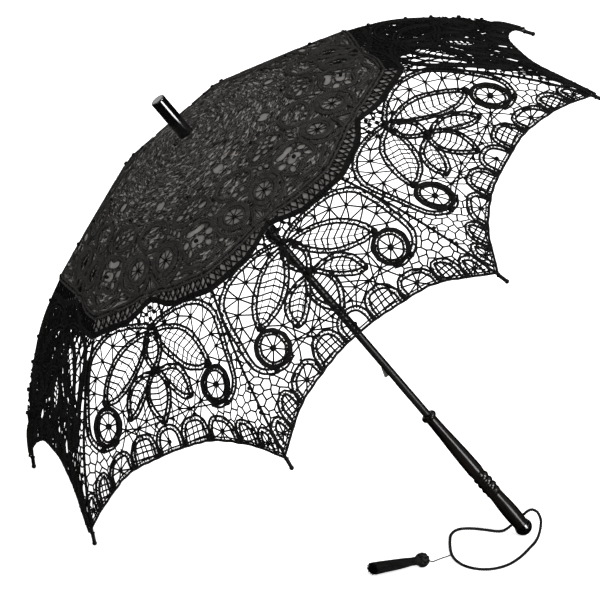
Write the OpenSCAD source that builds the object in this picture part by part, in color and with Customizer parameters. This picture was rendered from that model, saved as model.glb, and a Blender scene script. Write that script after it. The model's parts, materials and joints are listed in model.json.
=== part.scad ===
// Folding lace parasol, lying open on the floor: it rests on two rib tips and on the end of its handle.
// Lengths are in millimetres. Each sub-part is drawn in the parasol's own axes, where Z runs up the shaft
// from the handle's end, X points to the upper side and Y lies level. lay_down() sets it on the floor.

/* [Shaft and handle] */
// Overall length, from the end of the handle to the end of the ferrule
overall_len = 660; // [650:1:680]
// Radius of the tubular shaft
shaft_r = 4.5; // [4.2:0.1:4.5]
// Length of the handle, with its end cap
handle_len = 183; // [178:1:190]
// Radius of the round end cap
knob_r = 10; // [9:0.5:11]
// Radius of the ferrule cap
ferrule_r = 8.4; // [7.5:0.1:9]

/* [Ribs and stretchers] */
// Height of the rib hinges above the handle's end
hinge_u = 605; // [600:1:610]
// Distance of the rib tips from the shaft's axis
tip_radius = 390; // [380:1:400]
// Height of the rib tips above the handle's end
tip_u = 380; // [370:1:390]
// Half of the angle that a rib's bow turns through
rib_bow = 28; // [22:1:30]
// Radius of a rib's rod
rib_rod_r = 1.5; // [1.3:0.1:1.6]
// Distance along a rib from its hinge to its joiner
joiner_at = 190; // [184:1:192]
// Length of a stretcher between its two pivots
stretcher_len = 188; // [187:1:194]

/* [Canopy] */
// Thickness of the lace and its lining
canopy_thick = 0.8; // [0.6:0.1:1.2]
// Share of a rib's length by which the hem rises in the middle of a gore
hem_rise = 0.11; // [0.08:0.005:0.14]
// Power of the hem's curve between the middle of a gore and a rib
hem_power = 2.6; // [2:0.1:3.2]

/* [Cord and tassel] */
// Radius of the twisted wrist cord
cord_r = 1.6; // [1.2:0.1:1.8]
// Radius of the woven ball at the top of the tassel
tassel_ball_r = 8.2; // [7:0.1:9]
// Length of the tassel's skirt
tassel_len = 78; // [60:1:90]

/* [Hidden] */
$fn = 48;

// Fits and wall thicknesses
run_gap = 0.06;
blade_gap = 0.3;
blade_t = 1.3;
shaft_wall = 0.9;

// Ribs: they stand at odd multiples of half a gore's angle, so the XZ plane is a plane of symmetry
rib_count = 8;
gore_angle = 360 / rib_count;
half_gore = gore_angle / 2;
hinge_r = 8;
wire_r = 0.5;
eye_r = 1.6;
eye_hole_r = 0.6;
blade_len = 7;
foot_blade_len = 12;
tip_ball_r = 2.6;
cap_r = 2.1;
cap_len = 12;
rib_chord = norm([tip_radius - hinge_r, hinge_u - tip_u]);
rib_slope = atan2(hinge_u - tip_u, tip_radius - hinge_r);
rib_arc_r = rib_chord / (2 * sin(rib_bow));
rib_root = rib_slope - rib_bow;
rib_len = rib_arc_r * 2 * rib_bow * PI / 180;

// Slope of a rib below level, and its place in the rib's plane, at arc length s, set off outwards by off
function rib_angle(s) = rib_root + s / rib_arc_r * 180 / PI;
function rib_pt(s, off = 0) = [
    hinge_r + rib_arc_r * (sin(rib_angle(s)) - sin(rib_root)) + off * sin(rib_angle(s)),
    hinge_u - rib_arc_r * (cos(rib_root) - cos(rib_angle(s))) + off * cos(rib_angle(s))
];
function rib_turn(i) = half_gore + gore_angle * (i - 1);

// Joiner, rivet and stretcher, in the rib's plane
joiner_drop = 5;
joiner_r = 2.1;
joiner_len = 9;
lug_t = 1.4;
lug_r = 2.1;
lug_half = 1.7;
rivet_r = 0.9;
rivet_head_r = 1.6;
rivet_head_t = 0.6;
fork_t = 0.9;
fork_len = 10;
stretcher_r = 1.3;
crown_pivot_r = 10;
joint_pt = rib_pt(joiner_at, -joiner_drop);
runner_u = joint_pt[1] - sqrt(pow(stretcher_len, 2) - pow(joint_pt[0] - crown_pivot_r, 2));
stretcher_slope = atan2(joint_pt[1] - runner_u, joint_pt[0] - crown_pivot_r);

// Fold: the rib turns until its tip is this far from the axis, and the runner slides down with it
folded_tip_r = 17;
fold_angle = acos((folded_tip_r - hinge_r) / rib_chord) - rib_slope;
folded_x = (joint_pt[0] - hinge_r) * cos(fold_angle) + (joint_pt[1] - hinge_u) * sin(fold_angle) + hinge_r;
folded_z = (joint_pt[1] - hinge_u) * cos(fold_angle) - (joint_pt[0] - hinge_r) * sin(fold_angle) + hinge_u;
folded_runner_u = folded_z - sqrt(pow(stretcher_len, 2) - pow(folded_x - crown_pivot_r, 2));

// Runner and catch springs
crown_r = 12.5;
crown_t = 6;
runner_r = 7;
runner_len = 44;
runner_foot_r = 8.2;
catch_out = 8.6;
catch_w = 2.4;
catch_slot_w = 3.2;
catch_gap = 0.4;
catch_ramp = 15;
catch_slot_extra = 13;
upper_catch_u = runner_u + crown_t / 2 - runner_len - catch_gap;
lower_catch_u = folded_runner_u + crown_t / 2 + catch_gap;

// Top notch, apex and ferrule
notch_r = 12;
notch_t = 5.4;
notch_hub_r = 6.2;
apex_u = hinge_u + 3.2;
rosette_r = 21;
rosette_t = 1.2;
ferrule_u = apex_u + rosette_t;
ferrule_round = 1.6;
ferrule_shoulder_u = overall_len - ferrule_round;
ferrule_bore_top = overall_len - 10;

// Handle
shaft_foot_u = 110;
cap_top_u = 13;
spigot_r = 4;
spigot_len = 3.5;
cord_hole_u = 20;
cord_core_len = 17.8;
cord_hole_r = cord_r + 0.1;
bead_minor = 3.5;
bead_major = 5.2;
bead_u = handle_len - bead_minor;
ring_u = 68;
ring_pitch = 7.4;
ring_r = 9.1;
ring_groove_r = 7.8;

// Outline of the turned handle: [radius, height] from the cap's seat to the bead
function blend(a, b, t) = a + (b - a) * (1 - cos(180 * t)) / 2;
function turned_outline(r0, u0, r1, u1, steps) = [
    for (k = [0:steps]) [blend(r0, r1, k / steps), u0 + (u1 - u0) * k / steps]
];
grip_outline = concat(
    turned_outline(8.4, cap_top_u, 9, 30, 6),
    turned_outline(8.9, 36, 7.7, 61, 6),
    turned_outline(8.5, 64, ring_groove_r, ring_u, 3),
    [for (k = [0:2]) each [
        for (j = [0:5]) [ring_groove_r + (ring_r - ring_groove_r) * sin(36 * j), ring_u + ring_pitch * (k + j / 6)]
    ]],
    turned_outline(ring_groove_r, ring_u + 3 * ring_pitch, 8.6, 97, 4),
    turned_outline(8.5, 102, 6.3, bead_u - 1, 8)
);

// Canopy sector: rows run from the apex to the hem, columns from one mid-gore line over the rib to the next
canopy_rows = 16;
canopy_cols = 4;
canopy_lift = joiner_r + 0.2;
canopy_start = 7;
seam_gap = 0.2;
canopy_end = rib_len - cap_len - seam_gap;

// The floor passes under the two lowest rib tips and under the end cap
floor_drop = tip_radius * cos(half_gore);
floor_run = tip_u - knob_r;
tilt = atan2(floor_drop, floor_run) + asin((tip_ball_r - knob_r) / norm([floor_drop, floor_run]));
lift = knob_r - knob_r * sin(tilt);
function floor_x(p) = p[0] * sin(tilt) - p[2] * cos(tilt);
function turned(p, a) = [p[0] * cos(a) - p[1] * sin(a), p[0] * sin(a) + p[1] * cos(a), p[2]];
low_turn = rib_turn(4);
x_low = min([for (p = sector_points()) floor_x(turned(p, low_turn))]);
x_high = knob_r - knob_r * cos(tilt);
origin_x = -(x_low + x_high) / 2;

// Wrist cord, on the floor: out of the lower mouth, round and back into the upper mouth of the handle's hole
cord_route = [
    [251.6, 0, 10.4], [248, 0, 6.8], [243, 1, 3.2], [236, 3, 1.8], [226, 6, 1.7], [212, 8, 1.7], [199, 5, 1.7],
    [188, -5, 1.7], [178, -24, 1.7], [170, -50, 1.7], [163, -78, 1.7], [158, -104, 1.7], [157, -126, 1.7],
    [161, -144, 1.7], [171, -154, 1.7], [185, -154, 1.7], [201, -144, 1.7], [217, -127, 1.7], [232, -105, 1.7],
    [246, -81, 1.7], [259, -56, 1.7], [270, -36, 2.5], [278, -20, 6], [282, -10, 12], [283, -4, 19.5],
    [279, -1, 27], [272.5, 0, 29.5], [267.4, 0, 27.1], [263.8, 0, 23.3]
];
thread_route = [
    [157, -105, 1.7], [151, -110, 1], [144, -117, 1], [136, -126, 1], [128, -136, 1.6], [121.5, -144.5, 4.6],
    [116, -151, 8]
];
thread_r = 0.8;
cord_sides = 8;
tassel_head = [110, -156, tassel_ball_r];
tassel_turn = 215;
tassel_neck_r = 4;
tassel_end_r = 9;
tassel_overlap = 0.6;

module lay_down() {
    translate([origin_x, 0, lift])
        rotate([0, tilt - 90, 0])
            children();
}

module at_rib(i) {
    lay_down()
        rotate([0, 0, rib_turn(i)])
            children();
}

// A round rod of radius r along the rib's bow, from arc length s0 to s1
module rib_rod(s0, s1, r) {
    translate([hinge_r - rib_arc_r * sin(rib_root), 0, hinge_u - rib_arc_r * cos(rib_root)])
        rotate([90, 0, 0])
            rotate([0, 0, 90 - rib_angle(s1)])
                rotate_extrude(angle = rib_angle(s1) - rib_angle(s0), $fn = 360)
                    translate([rib_arc_r, 0])
                        circle(r = r, $fn = 32);
}

// A pin across the rib's plane, at the point p of that plane
module cross_pin(p, r, h) {
    translate([p[0], 0, p[1]])
        rotate([90, 0, 0])
            cylinder(r = r, h = h, center = true);
}

// Puts its children at the point p of the rib's plane, with X along a line that slopes down by a
module in_plane(p, a) {
    translate([p[0], 0, p[1]])
        rotate([0, a, 0])
            children();
}

module shaft() {
    color("#26231f")
        lay_down()
            difference() {
                translate([0, 0, shaft_foot_u])
                    cylinder(r = shaft_r, h = ferrule_bore_top - shaft_foot_u);
                translate([0, 0, shaft_foot_u - 1])
                    cylinder(r = shaft_r - shaft_wall, h = ferrule_bore_top - shaft_foot_u - 4);
                catch_slot(lower_catch_u, 1);
                catch_slot(upper_catch_u, -1);
            }
}

// Slot in the lower side of the shaft for a catch whose shoulder is at u, with its ramp on the side up
module catch_slot(u, up) {
    low = u - (up > 0 ? catch_slot_extra : catch_ramp);
    translate([-shaft_r - 1, -catch_slot_w / 2, low])
        cube([shaft_r, catch_slot_w, catch_ramp + catch_slot_extra]);
}

module ferrule_cap() {
    color("#121110")
        lay_down()
            difference() {
                rotate_extrude()
                    union() {
                        translate([0, ferrule_u])
                            square([ferrule_r, ferrule_shoulder_u - ferrule_u]);
                        translate([0, ferrule_shoulder_u - 1])
                            square([ferrule_r - ferrule_round, ferrule_round + 1]);
                        translate([ferrule_r - ferrule_round, ferrule_shoulder_u])
                            intersection() {
                                circle(r = ferrule_round);
                                square(ferrule_round);
                            }
                    }
                translate([0, 0, ferrule_u - 1])
                    cylinder(r = shaft_r, h = ferrule_bore_top - ferrule_u + 1);
            }
}

module apex_rosette() {
    color("#1b1917")
        lay_down()
            translate([0, 0, apex_u])
                difference() {
                    cylinder(r = rosette_r, h = rosette_t, $fn = 64);
                    translate([0, 0, -1])
                        cylinder(r = shaft_r, h = rosette_t + 2);
                }
}

module top_notch() {
    slot_w = blade_t + 2 * blade_gap;
    color("#2b2927")
        lay_down()
            difference() {
                translate([0, 0, hinge_u - notch_t / 2])
                    cylinder(r = notch_r, h = notch_t);
                translate([0, 0, hinge_u - notch_t])
                    cylinder(r = shaft_r, h = 2 * notch_t);
                for (i = [1:rib_count])
                    rotate([0, 0, rib_turn(i)])
                        translate([notch_hub_r - 0.1, -slot_w / 2, hinge_u - notch_t])
                            cube([notch_r, slot_w, 2 * notch_t]);
                // Groove that the wire is laid into from above
                translate([0, 0, hinge_u - wire_r])
                    difference() {
                        cylinder(r = hinge_r + wire_r, h = notch_t);
                        translate([0, 0, -1])
                            cylinder(r = hinge_r - wire_r, h = notch_t + 2);
                    }
            }
}

module notch_wire() {
    color("#8d8a85")
        lay_down()
            translate([0, 0, hinge_u])
                rotate_extrude()
                    translate([hinge_r, 0])
                        circle(r = wire_r, $fn = 24);
}

module handle_grip() {
    color("#17130f")
        lay_down()
            difference() {
                rotate_extrude()
                    union() {
                        polygon(concat([[0, cap_top_u]], grip_outline, [[0, bead_u - 1]]));
                        translate([0, bead_u - bead_minor])
                            square([bead_major, 2 * bead_minor]);
                        translate([bead_major, bead_u])
                            circle(r = bead_minor);
                    }
                translate([0, 0, shaft_foot_u])
                    cylinder(r = shaft_r, h = handle_len);
                translate([0, 0, cap_top_u - 1])
                    cylinder(r = spigot_r, h = spigot_len + 1);
                translate([0, 0, cord_hole_u])
                    rotate([0, 90, 0])
                        cylinder(r = cord_hole_r, h = 4 * knob_r, center = true);
            }
}

module handle_end_cap() {
    color("#0f0e0d")
        lay_down()
            union() {
                rotate_extrude()
                    union() {
                        intersection() {
                            translate([0, knob_r])
                                circle(r = knob_r, $fn = 96);
                            square([knob_r, knob_r]);
                        }
                        translate([0, knob_r])
                            square([knob_r - 0.6, cap_top_u - knob_r]);
                    }
                translate([0, 0, cap_top_u - 1])
                    cylinder(r = spigot_r, h = spigot_len + 1);
            }
}

module runner() {
    slot_w = blade_t + 2 * blade_gap;
    foot_u = runner_u + crown_t / 2 - runner_len;
    color("#1f1d1b")
        lay_down()
            difference() {
                union() {
                    translate([0, 0, runner_u - crown_t / 2])
                        cylinder(r = crown_r, h = crown_t);
                    translate([0, 0, foot_u])
                        cylinder(r = runner_r, h = runner_len);
                    translate([0, 0, foot_u])
                        cylinder(r = runner_foot_r, h = 4);
                    translate([0, 0, runner_u - crown_t / 2 - 6])
                        cylinder(r = runner_foot_r, h = 2);
                }
                translate([0, 0, foot_u - 1])
                    cylinder(r = shaft_r + run_gap, h = runner_len + 2);
                for (i = [1:rib_count])
                    rotate([0, 0, rib_turn(i)])
                        translate([runner_r + 0.2, -slot_w / 2, runner_u - crown_t])
                            cube([crown_r, slot_w, 2 * crown_t]);
            }
}

// Spring catch: a strip held inside the shaft, with a ramp that stands out through the slot.
// Its shoulder is at u, and its ramp runs up from there when up is 1, or down when up is -1.
module catch_spring(u, up) {
    inner = shaft_r - shaft_wall - 0.3;
    color("#6e6a64")
        lay_down()
            translate([0, 0, u])
                mirror([0, 0, up > 0 ? 0 : 1])
                    rotate([90, 0, 0])
                        linear_extrude(height = catch_w, center = true)
                            polygon([
                                [-catch_out + 0.8, 0], [-inner + 0.6, 0], [-inner + 0.6, catch_ramp - 3],
                                [-inner + 1.2, catch_ramp], [-inner + 1.2, catch_ramp + 12],
                                [-inner, catch_ramp + 12], [-inner, catch_ramp - 1], [-shaft_r, catch_ramp - 2.5],
                                [-catch_out, 1.2]
                            ]);
}

module rib(i) {
    joint = joint_pt;
    color("#23211f")
        at_rib(i)
            difference() {
                union() {
                    cross_pin([hinge_r, hinge_u], eye_r, blade_t);
                    in_plane([hinge_r, hinge_u], rib_angle(blade_len / 2))
                        translate([0, -blade_t / 2, -1.2])
                            cube([blade_len, blade_t, 2.4]);
                    rib_rod(blade_len - 1, rib_len - 5, rib_rod_r);
                    in_plane(rib_pt(joiner_at), rib_angle(joiner_at)) {
                        rotate([0, 90, 0])
                            cylinder(r = joiner_r, h = joiner_len, center = true);
                        translate([-lug_half, -lug_t / 2, -joiner_drop])
                            cube([2 * lug_half, lug_t, joiner_drop]);
                    }
                    cross_pin(joint, lug_r, lug_t);
                }
                cross_pin([hinge_r, hinge_u], eye_hole_r, 2 * blade_t);
                cross_pin(joint, rivet_r, 2 * lug_t);
            }
}

module rib_tip(i) {
    color("#141312")
        at_rib(i)
            difference() {
                union() {
                    translate([rib_pt(rib_len)[0], 0, rib_pt(rib_len)[1]])
                        sphere(r = tip_ball_r);
                    in_plane(rib_pt(rib_len), rib_angle(rib_len))
                        translate([-cap_len, 0, 0])
                            rotate([0, 90, 0])
                                cylinder(r = cap_r, h = cap_len);
                    in_plane(rib_pt(rib_len), rib_angle(rib_len))
                        translate([-cap_len, 0, 0])
                            rotate([0, 90, 0])
                                cylinder(r = tip_ball_r, h = 1.6);
                }
                rib_rod(rib_len - 2 * cap_len, rib_len - 5, rib_rod_r);
            }
}

module rivet(i) {
    half = lug_t / 2 + blade_gap + fork_t + 0.2;
    color("#9a968f")
        at_rib(i)
            union() {
                cross_pin(joint_pt, rivet_r, 2 * half + rivet_head_t);
                for (side = [-1, 1])
                    translate([0, side * (half + rivet_head_t / 2), 0])
                        cross_pin(joint_pt, rivet_head_r, rivet_head_t);
            }
}

module stretcher(i) {
    fork_in = lug_t / 2 + blade_gap;
    crown_pt = [crown_pivot_r, runner_u];
    color("#23211f")
        at_rib(i)
            difference() {
                union() {
                    for (side = [-1, 1])
                        translate([0, side * (fork_in + fork_t / 2), 0]) {
                            cross_pin(joint_pt, lug_r, fork_t);
                            in_plane(joint_pt, 180 - stretcher_slope)
                                translate([0, -fork_t / 2, -1.5])
                                    cube([fork_len, fork_t, 3]);
                        }
                    in_plane(joint_pt, 180 - stretcher_slope)
                        translate([fork_len - 3, -fork_in - fork_t, -1.5])
                            cube([4, 2 * (fork_in + fork_t), 3]);
                    in_plane(joint_pt, 180 - stretcher_slope)
                        translate([fork_len, 0, 0])
                            rotate([0, 90, 0])
                                cylinder(r = stretcher_r, h = stretcher_len - fork_len - foot_blade_len, $fn = 24);
                    in_plane(crown_pt, -stretcher_slope)
                        translate([0, -blade_t / 2, -1.1])
                            cube([foot_blade_len + 1, blade_t, 2.2]);
                    cross_pin(crown_pt, eye_r, blade_t);
                }
                cross_pin(joint_pt, rivet_r + run_gap, 20);
                cross_pin(crown_pt, eye_hole_r, 2 * blade_t);
            }
}

// Point of a canopy sector: arc length s, share f of the way from the rib to the mid-gore line on the
// given side, set off outwards by off. The gore is straight from rib to rib across its width.
function sector_pt(s, f, side, off) =
    let (
        p = rib_pt(s),
        a = rib_angle(s),
        g = min(f, 1 - seam_gap / (p[0] * sin(half_gore))),
        raw = [sin(a), cos(half_gore) * cos(a)],
        n = raw / norm(raw),
        ridge = [n[0] * cos(half_gore), 0, n[1]],
        out = f == 0 ? ridge / (ridge * ridge) : [n[0] * cos(half_gore), side * n[0] * sin(half_gore), n[1]],
        base = [
            p[0] * (1 - g * pow(sin(half_gore), 2)),
            side * g * p[0] * sin(half_gore) * cos(half_gore),
            p[1]
        ]
    )
    base + off * out;
function hem_at(f) = canopy_end - rib_len * hem_rise * (1 - pow(1 - f, hem_power));
function layer_points(off) = [
    for (j = [0:canopy_rows], c = [-canopy_cols:canopy_cols])
        let (f = abs(c) / canopy_cols, s = canopy_start + (hem_at(f) - canopy_start) * j / canopy_rows)
        sector_pt(s, f, c < 0 ? -1 : 1, off)
];
function sector_points() = concat(layer_points(canopy_lift + canopy_thick), layer_points(canopy_lift));
function quad(a, b, c, d) = [[a, b, c], [a, c, d]];
sector_width = 2 * canopy_cols + 1;
sector_layer = sector_width * (canopy_rows + 1);
function at(layer, j, c) = layer * sector_layer + j * sector_width + c;
sector_faces = concat(
    [for (j = [0:canopy_rows - 1], c = [0:sector_width - 2])
        each quad(at(0, j, c), at(0, j, c + 1), at(0, j + 1, c + 1), at(0, j + 1, c))],
    [for (j = [0:canopy_rows - 1], c = [0:sector_width - 2])
        each quad(at(1, j, c), at(1, j + 1, c), at(1, j + 1, c + 1), at(1, j, c + 1))],
    [for (j = [0:canopy_rows - 1])
        each quad(at(0, j, 0), at(0, j + 1, 0), at(1, j + 1, 0), at(1, j, 0))],
    [for (j = [0:canopy_rows - 1], c = sector_width - 1)
        each quad(at(0, j, c), at(1, j, c), at(1, j + 1, c), at(0, j + 1, c))],
    [for (c = [0:sector_width - 2])
        each quad(at(0, 0, c), at(1, 0, c), at(1, 0, c + 1), at(0, 0, c + 1))],
    [for (c = [0:sector_width - 2], j = canopy_rows)
        each quad(at(0, j, c), at(0, j, c + 1), at(1, j, c + 1), at(1, j, c))]
);

module canopy(i) {
    color("#3a3734")
        at_rib(i)
            polyhedron(points = sector_points(), faces = sector_faces, convexity = 4);
}

// Tube of radius r swept along a route, with a smooth curve between the route's points
function unit(v) = v / norm(v);
function smooth_pt(a, b, c, d, t) =
    (2 * b + (c - a) * t + (2 * a - 5 * b + 4 * c - d) * t * t + (3 * b - a - 3 * c + d) * t * t * t) / 2;
function smoothed(route, steps) =
    let (last = len(route) - 1)
    concat(
        [for (k = [0:last - 1], j = [0:steps - 1])
            smooth_pt(route[max(k - 1, 0)], route[k], route[k + 1], route[min(k + 2, last)], j / steps)],
        [route[last]]
    );
function heading(path, k) = unit(path[min(k + 1, len(path) - 1)] - path[max(k - 1, 0)]);
function side_of(path, k) =
    k == 0
        ? unit(cross(heading(path, 0), [0, 1, 0.2]))
        : let (n = side_of(path, k - 1), t = heading(path, k)) unit(n - (n * t) * t);
module tube(route, r, steps) {
    path = smoothed(route, steps);
    rings = len(path);
    points = [
        for (k = [0:rings - 1])
            let (t = heading(path, k), n = side_of(path, k), b = cross(t, n))
            for (j = [0:cord_sides - 1])
                path[k] + r * (cos(360 * j / cord_sides) * n + sin(360 * j / cord_sides) * b)
    ];
    walls = [
        for (k = [0:rings - 2], j = [0:cord_sides - 1])
            let (next = (j + 1) % cord_sides, low = k * cord_sides, high = low + cord_sides)
            each quad(low + j, high + j, high + next, low + next)
    ];
    start = [for (j = [0:cord_sides - 1]) j];
    end = [for (j = [0:cord_sides - 1]) rings * cord_sides - 1 - j];
    polyhedron(points = points, faces = concat(walls, [start, end]), convexity = 6);
}

module cord_core() {
    color("#1a1918")
        lay_down()
            translate([0, 0, cord_hole_u])
                rotate([0, 90, 0])
                    cylinder(r = cord_hole_r, h = cord_core_len, center = true);
}

module wrist_cord() {
    color("#1a1918")
        tube(cord_route, cord_r, 2);
}

module tassel_thread() {
    color("#1a1918")
        tube(thread_route, thread_r, 2);
}

module tassel_head() {
    color("#1a1918")
        translate(tassel_head)
            sphere(r = tassel_ball_r, $fn = 64);
}

module tassel_skirt() {
    start = tassel_ball_r - tassel_overlap;
    rise = atan2(tassel_end_r - tassel_ball_r + 0.1, tassel_len);
    color("#1a1918")
        translate(tassel_head)
            rotate([0, 90 - rise, tassel_turn])
                translate([0, 0, start])
                    cylinder(r1 = tassel_neck_r, r2 = tassel_end_r, h = tassel_len);
}

shaft();
ferrule_cap();
apex_rosette();
top_notch();
notch_wire();
handle_grip();
handle_end_cap();
runner();
catch_spring(lower_catch_u, 1);  // lower_catch_spring
catch_spring(upper_catch_u, -1);  // upper_catch_spring
cord_core();
wrist_cord();
tassel_thread();
tassel_head();
tassel_skirt();
for (i = [1:8]) rib(i);
for (i = [1:8]) rib_tip(i);
for (i = [1:8]) rivet(i);
for (i = [1:8]) stretcher(i);
for (i = [1:8]) canopy(i);
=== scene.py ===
"""A black lace parasol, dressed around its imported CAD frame.

World places are in metres in the row's frame. The lace is drawn flat in millimetres: x from a gore's
centre line, s down from the rib's hinge, and lift off the ribs' centre lines."""

import json
import math

import bpy
import numpy as np
from mathutils import Matrix, Vector


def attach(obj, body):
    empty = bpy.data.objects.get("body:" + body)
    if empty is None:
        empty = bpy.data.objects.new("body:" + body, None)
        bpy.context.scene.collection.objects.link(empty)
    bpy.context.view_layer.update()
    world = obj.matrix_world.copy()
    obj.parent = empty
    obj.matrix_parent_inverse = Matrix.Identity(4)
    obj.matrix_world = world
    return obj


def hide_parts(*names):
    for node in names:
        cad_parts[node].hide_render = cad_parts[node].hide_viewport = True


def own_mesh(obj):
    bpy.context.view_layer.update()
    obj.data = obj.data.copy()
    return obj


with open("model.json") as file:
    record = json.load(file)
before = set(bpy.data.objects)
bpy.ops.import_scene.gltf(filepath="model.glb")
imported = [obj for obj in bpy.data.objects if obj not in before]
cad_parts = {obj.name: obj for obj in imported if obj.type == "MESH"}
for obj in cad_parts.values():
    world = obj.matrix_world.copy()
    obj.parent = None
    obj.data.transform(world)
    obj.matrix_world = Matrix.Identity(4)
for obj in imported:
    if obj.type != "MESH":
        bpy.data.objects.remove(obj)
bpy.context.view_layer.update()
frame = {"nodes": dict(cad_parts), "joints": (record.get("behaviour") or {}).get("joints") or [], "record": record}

MM = 0.001
RIBS = range(1, 9)
HALF_GORE = math.radians(22.5)
SIN_H, COS_H = math.sin(HALF_GORE), math.cos(HALF_GORE)

# The parasol's own axes, from the joints. SHAFT runs up to the ferrule, and FOOT is the handle's end on
# the axis. HINGE_U and TIP_U are a rib's ends above the foot and TIP_RADIUS is its tip's distance from
# the axis, in mm. RIB_BOW is half the angle that a rib's arc turns through.
joint = {j["name"]: j for j in frame["joints"]}
HINGE_U = 605.0
TIP_RADIUS = 390.0
TIP_U = 380.0
RIB_BOW = math.radians(28)
SHAFT = -np.array(joint["runner_slide"]["axis"], float)
LEVEL = np.array([0.0, 1.0, 0.0])
UPPER = np.cross(LEVEL, SHAFT)
hinges = np.array([joint[f"rib_{i}_hinge"]["pos_m"] for i in RIBS], float)
FOOT = hinges.mean(0) - HINGE_U * MM * SHAFT
HINGE_R = float(np.linalg.norm(hinges[0] - hinges.mean(0))) / MM
RIB_CHORD = math.hypot(TIP_RADIUS - HINGE_R, HINGE_U - TIP_U)
ARC_R = RIB_CHORD / (2 * math.sin(RIB_BOW))
ROOT = math.atan2(HINGE_U - TIP_U, TIP_RADIUS - HINGE_R) - RIB_BOW

# Camera: its turn, rise and roll, its distance in m, its lens in mm, and where the view's middle lies
# from the foot, in m
CAMERA_TURN = math.radians(-15.8)
CAMERA_RISE = math.radians(13.6)
CAMERA_ROLL = math.radians(7.7)
CAMERA_AWAY = 12.0
CAMERA_LENS = 660.0
VIEW_LEFT = 0.2493
VIEW_UP = 0.2539

# Lace, in mm: radii of cords and threads, half the distance between a tape's two cords, and heights
# off the ribs
CORD = 1.45
TAPE_HALF = 2.35
THREAD = 0.98
VEIN = 0.62
FINE = 0.6
THIN = 0.5
BAR = 0.95
CROSS_THREAD = 0.85
HEM_CORD = 1.5
HEM_SECOND = 0.9
TAPE_LIFT = 3.9
NET_LIFT = 3.4
LINING_LIFT = 2.3
GROUND_LIFT = 3.0

# Values of s: where the lining starts, the level that its scallops are drawn from, how far down it
# reaches when cut flat, and where the hem is in mid-gore; and how much further down it is at a rib
LINING_TOP = 12.0
LINING_LOW = 236.5
HEM_MID = 400.0
HEM_DROP = 50.0

# The step that tapes are drawn in, the pitch of the crosses over the lining's edge, the spacing of the
# knots along a rib, the net's cells, and how far an arch's threads may reach
STEP = 3.2
CROSS = 7.4
KNOT_STEP = 36.0
CELL_W, CELL_H, CELL_JITTER = 9.5, 13.5, 2.3
ARCH_REACH = 24

scene = bpy.context.scene


def smooth(points, step):
    """A curve through the points, with a point every step."""
    p = np.array(points, float)
    q = np.vstack([2 * p[0] - p[1], p, 2 * p[-1] - p[-2]])
    t = np.linspace(0, 1, 16, endpoint=False)[:, None]
    parts = []
    for k in range(len(p) - 1):
        a, b, c, d = q[k : k + 4]
        square, cube = 2 * a - 5 * b + 4 * c - d, 3 * b - a - 3 * c + d
        parts.append((2 * b + (c - a) * t + square * t**2 + cube * t**3) / 2)
    return spaced(np.vstack(parts + [p[-1:]]), step)


def walked(line):
    """How far along the line each point is."""
    return np.r_[0, np.cumsum(np.linalg.norm(np.diff(line, axis=0), axis=1))]


def spaced(line, step):
    """The line with points about a step apart."""
    line = np.asarray(line, float)
    d = walked(line)
    at = np.linspace(0, d[-1], max(int(round(d[-1] / step)), 1) + 1)
    return np.stack([np.interp(at, d, line[:, k]) for k in range(line.shape[1])], 1)


def unit(v):
    """Vectors of length 1."""
    return v / np.maximum(np.linalg.norm(v, axis=-1, keepdims=True), 1e-12)


def beside(line, off):
    """The line moved sideways in the drawing."""
    t = unit(np.gradient(line, axis=0))
    return line + np.asarray(off)[..., None] * np.stack([-t[:, 1], t[:, 0]], 1)


def rib_angle(s):
    """How steeply a rib falls at s."""
    return ROOT + np.asarray(s, float) / ARC_R


def rib_rho(s):
    """A rib's distance from the shaft's axis at s."""
    return HINGE_R + ARC_R * (np.sin(rib_angle(s)) - math.sin(ROOT))


def half_width(s):
    """How far the rib is from the gore's centre line."""
    return rib_rho(s) * SIN_H


def on_dome(x, s, side, rib):
    """Places in metres on the canopy's rib surface, and its outward normals."""
    a = rib_angle(s)
    rho, u = rib_rho(s), HINGE_U - ARC_R * (math.cos(ROOT) - np.cos(a))
    g = np.clip(1 - x / (rho * SIN_H), 0, 1)
    n0, n1 = np.sin(a), COS_H * np.cos(a)
    off_ridge = side * n0 * SIN_H * np.minimum(g / 0.06, 1)
    turn = HALF_GORE * (2 * rib - 1)
    radial = UPPER * math.cos(turn) + LEVEL * math.sin(turn)
    across = LEVEL * math.cos(turn) - UPPER * math.sin(turn)
    out, over = rho * (1 - g * SIN_H**2), side * g * rho * SIN_H * COS_H
    p = FOOT + MM * (out[:, None] * radial + over[:, None] * across + u[:, None] * SHAFT)
    n = (n0 * COS_H)[:, None] * radial + off_ridge[:, None] * across + n1[:, None] * SHAFT
    return p, unit(n)


def mesh_piece(name, verts, faces, mat, fibre=None):
    """A mesh object of quads; fibre is a value per vertex that the thread materials twist along."""
    mesh = bpy.data.meshes.new(name)
    mesh.vertices.add(len(verts))
    mesh.vertices.foreach_set("co", np.asarray(verts, np.float32).ravel())
    faces = np.asarray(faces, np.int32)
    mesh.loops.add(faces.size)
    mesh.loops.foreach_set("vertex_index", faces.ravel())
    mesh.polygons.add(len(faces))
    mesh.polygons.foreach_set("loop_start", np.arange(0, faces.size, 4, dtype=np.int32))
    mesh.polygons.foreach_set("use_smooth", np.ones(len(faces), bool))
    mesh.update(calc_edges=True)
    if fibre is not None:
        values = mesh.attributes.new("fibre", "FLOAT_VECTOR", "POINT").data
        values.foreach_set("vector", np.asarray(fibre, np.float32).ravel())
    mesh.materials.append(mat)
    obj = bpy.data.objects.new(name, mesh)
    scene.collection.objects.link(obj)
    return obj


def ring_faces(v):
    """Quads between rings of vertices, each ring closed on itself."""
    w = np.roll(v, -1, axis=1)
    return np.stack([v[:-1], w[:-1], w[1:], v[1:]], -1).reshape(-1, 4)


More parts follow.
